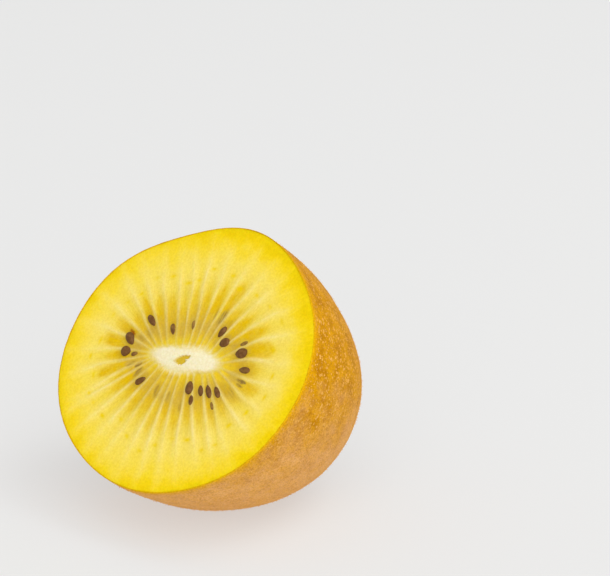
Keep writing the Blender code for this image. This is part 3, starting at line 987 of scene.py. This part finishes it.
def makeFuzzMaterial():
    material, tree, shader = newMaterial("kiwiFuzz")
    here = placeOf(tree)
    tint = mottled(tree, here, fuzzLook["light"], fuzzLook["dark"], 600.0, 0.4, 0.6)
    # the low colour lower down is partly dust and partly painted bounce light
    tint = mixColour(tree, dustAndBounceOn(tree, here), tint, tone(fuzzLook["low"]))
    tree.links.new(tint, shader.inputs["Base Color"])
    setShader(shader, Roughness=0.7, Specular_IOR_Level=0.06)
    return material


# Studio

studio = {
    "floorColour": "989897",
    "floorGlow": 0.50,           # a lit table, which keeps the shadow pale
    "floorSize": 6.0,
    "skyStrength": 0.56,
    # a broad soft light from beside the camera: degrees round from in front, degrees up,
    # degrees across and strength
    "broadLight": (48.0, 42.0, 60.0, 1.1),
    "aim": (0.0, 0.0, 0.025),    # the point that the soft lights face
    # soft lights: where, side of the square, and power
    "lights": {
        "lowSoftbox": ((0.50, -0.90, 0.16), 0.7, 1.4),
        "sideSoftbox": ((1.00, -0.25, 0.35), 0.8, 1.2),
        "topSoftbox": ((0.40, 0.24, 0.72), 0.5, 1.9),
    },
}

photoView = {
    "azimuth": 41.35,            # degrees round from in front
    "elevation": 20.0,
    "lens": 208.9,
    "sensor": 36.0,
    # where the middle of the cut face is in the camera's own axes
    "faceMiddle": (-20.49 * mm, -11.98 * mm, -600.44 * mm),
}


def directionTo(azimuth, elevation):
    a, e = math.radians(azimuth), math.radians(elevation)
    return Vector((math.sin(a) * math.cos(e), -math.cos(a) * math.cos(e), math.sin(e)))


def addCamera():
    azimuth = math.radians(photoView["azimuth"])
    right = Vector((math.cos(azimuth), math.sin(azimuth), 0.0))
    back = directionTo(photoView["azimuth"], photoView["elevation"])
    turn = Matrix((right, back.cross(right), back)).transposed()
    data = bpy.data.cameras.new("photoCamera")
    data.lens = photoView["lens"]
    data.sensor_width = photoView["sensor"]
    data.clip_start = 0.05
    camera = addObject("photoCamera", data)
    spot = place.translation - turn @ Vector(photoView["faceMiddle"])
    camera.matrix_world = Matrix.Translation(spot) @ turn.to_4x4()
    bpy.context.scene.camera = camera


def addSoftbox(name, spot, size, power):
    data = bpy.data.lights.new(name, "AREA")
    data.shape = "SQUARE"
    data.size = size
    data.energy = power
    lamp = addObject(name, data)
    lamp.location = spot
    aim = Vector(studio["aim"]) - Vector(spot)
    lamp.rotation_euler = aim.to_track_quat("-Z", "Y").to_euler()


def addBroadLight():
    azimuth, elevation, across, strength = studio["broadLight"]
    data = bpy.data.lights.new("broadLight", "SUN")
    data.angle = math.radians(across)
    data.energy = strength
    lamp = addObject("broadLight", data)
    lamp.rotation_euler = directionTo(azimuth, elevation).to_track_quat("Z", "Y").to_euler()


def addStudio():
    material, tree, shader = newMaterial("paleFloor")
    setShader(shader, Base_Color=tone(studio["floorColour"]), Roughness=0.9, Specular_IOR_Level=0.1,
              Emission_Color=tone("ffffff"), Emission_Strength=studio["floorGlow"])
    half = studio["floorSize"] / 2.0
    mesh = bpy.data.meshes.new("floor")
    corners = [(-half, -half, 0.0), (half, -half, 0.0), (half, half, 0.0), (-half, half, 0.0)]
    mesh.from_pydata(corners, [], [(0, 1, 2, 3)])
    mesh.materials.append(material)
    floor = addObject("floor", mesh)
    world = bpy.data.worlds.new("studioSky")
    world.use_nodes = True
    sky = world.node_tree.nodes["Background"]
    sky.inputs["Color"].default_value = tone("ffffff")
    sky.inputs["Strength"].default_value = studio["skyStrength"]
    bpy.context.scene.world = world
    addBroadLight()
    for name, (spot, size, power) in studio["lights"].items():
        addSoftbox(name, spot, size, power)
    bpy.context.scene.view_settings.view_transform = "Standard"


flesh = makeFlesh(makeFleshMaterial())
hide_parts(cadNode)
print("flesh: %d faces" % len(flesh.data.polygons))
skin = makeSkin(makeSkinMaterial())
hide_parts(cadNode)
print("skin: %d faces" % len(skin.data.polygons))
seedMaterial = makeSeedMaterial()
seeds = [makeSeed(number, row, seedMaterial) for number, row in enumerate(seedRows)]
print("seeds: %d" % len(seeds))
fuzzMaterial = makeFuzzMaterial()
flecks = makeFuzz("kiwi_flecks", fuzzForm["flecks"], fuzzMaterial)
hairs = makeFuzz("kiwi_hairs", fuzzForm["hairs"], fuzzMaterial)
print("flecks and hairs: %d faces" % (len(flecks.data.polygons) + len(hairs.data.polygons)))
addStudio()
addCamera()
print("studio and camera ready")
